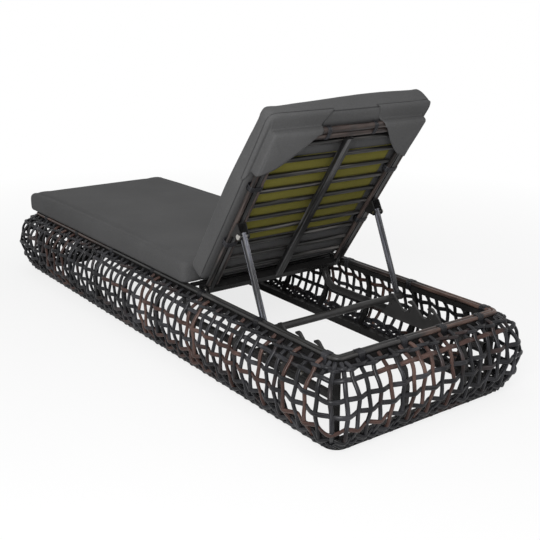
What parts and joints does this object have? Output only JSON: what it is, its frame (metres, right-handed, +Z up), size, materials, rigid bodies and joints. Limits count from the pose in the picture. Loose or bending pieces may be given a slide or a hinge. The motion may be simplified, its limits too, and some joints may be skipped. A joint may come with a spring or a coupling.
{
  "type": "woven relaxation lounger",
  "caption": "Low woven lounger with a bulging wicker base, a seat cushion and a cushioned backrest that a swinging prop holds up in toothed racks.",
  "frame": {"origin": "on the floor, under the centre of the base", "axes": "+X to the left side seen from the head end, +Y from foot to head, +Z up"},
  "size_m": [0.7412, 2.0772, 0.8378],
  "materials": {
    "rattan": "satin wicker strand",
    "frame_metal": "satin black powder coat",
    "prop_metal": "satin black with fine flutes",
    "bolt_steel": "bright",
    "cap_plastic": "moulded",
    "cushion_cloth": "plain dark grey weave",
    "panel_cloth": "olive lining"
  },
  "bodies": {
    "base": {"bottom_corners": "frame_metal", "bottom_rail_foot": "frame_metal", "bottom_rail_head": "frame_metal", "bottom_rail_left": "frame_metal", "bottom_rail_right": "frame_metal", "corner_posts": "rattan", "corner_rows": "rattan", "corner_uprights": "rattan", "cushion_hinge": "cushion_cloth", "foot_rows": "rattan", "foot_uprights": "rattan", "head_rows": "rattan", "head_uprights": "rattan", "hinge_beam": "frame_metal", "hinge_brackets": "frame_metal", "hinge_pins": "bolt_steel", "left_rows": "rattan", "left_uprights": "rattan", "rack_bolts": "bolt_steel", "rack_left": "frame_metal", "rack_rail_left": "frame_metal", "rack_rail_right": "frame_metal", "rack_right": "frame_metal", "ribs_ends": "rattan", "ribs_left": "rattan", "ribs_right": "rattan", "right_rows": "rattan", "right_uprights": "rattan", "rim_corners": "frame_metal", "rim_foot": "frame_metal", "rim_head": "frame_metal", "rim_lashings": "rattan", "rim_left": "frame_metal", "rim_poles_foot": "rattan", "rim_poles_head": "rattan", "rim_poles_left": "rattan", "rim_poles_right": "rattan", "rim_right": "frame_metal", "seat_cushion": "cushion_cloth", "seat_slats": "rattan", "seat_strut": "rattan"},
    "backrest": {"back_bottom_rail": "frame_metal", "back_cushion": "cushion_cloth", "back_lashings": "rattan", "back_poles_left": "rattan", "back_poles_right": "rattan", "back_rail_left": "frame_metal", "back_rail_right": "frame_metal", "back_rods": "rattan", "back_strut": "rattan", "back_top_poles": "rattan", "cushion_panel": "panel_cloth", "pocket_left": "cushion_cloth", "pocket_right": "cushion_cloth", "prop_brackets": "frame_metal", "prop_pins": "bolt_steel"},
    "prop": {"prop_leg_left": "prop_metal", "prop_leg_right": "prop_metal", "crossbar": "frame_metal", "crossbar_caps": "cap_plastic"}
  },
  "joints": [
    {"name": "backrest_tilt", "type": "hinge", "parent": "base", "child": "backrest", "pos_m": [0, 0.303, 0.242], "axis": [-1, 0, 0], "range_deg": [0, 55.3]},
    {"name": "prop_swing", "type": "hinge", "parent": "backrest", "child": "prop", "pos_m": [0, 0.50034, 0.45322], "axis": [-1, 0, 0], "range_deg": [0, 53]}
  ],
  "couplings": [
    {"joint": "prop_swing", "follows": "backrest_tilt", "ratio": 0.9566}
  ]
}
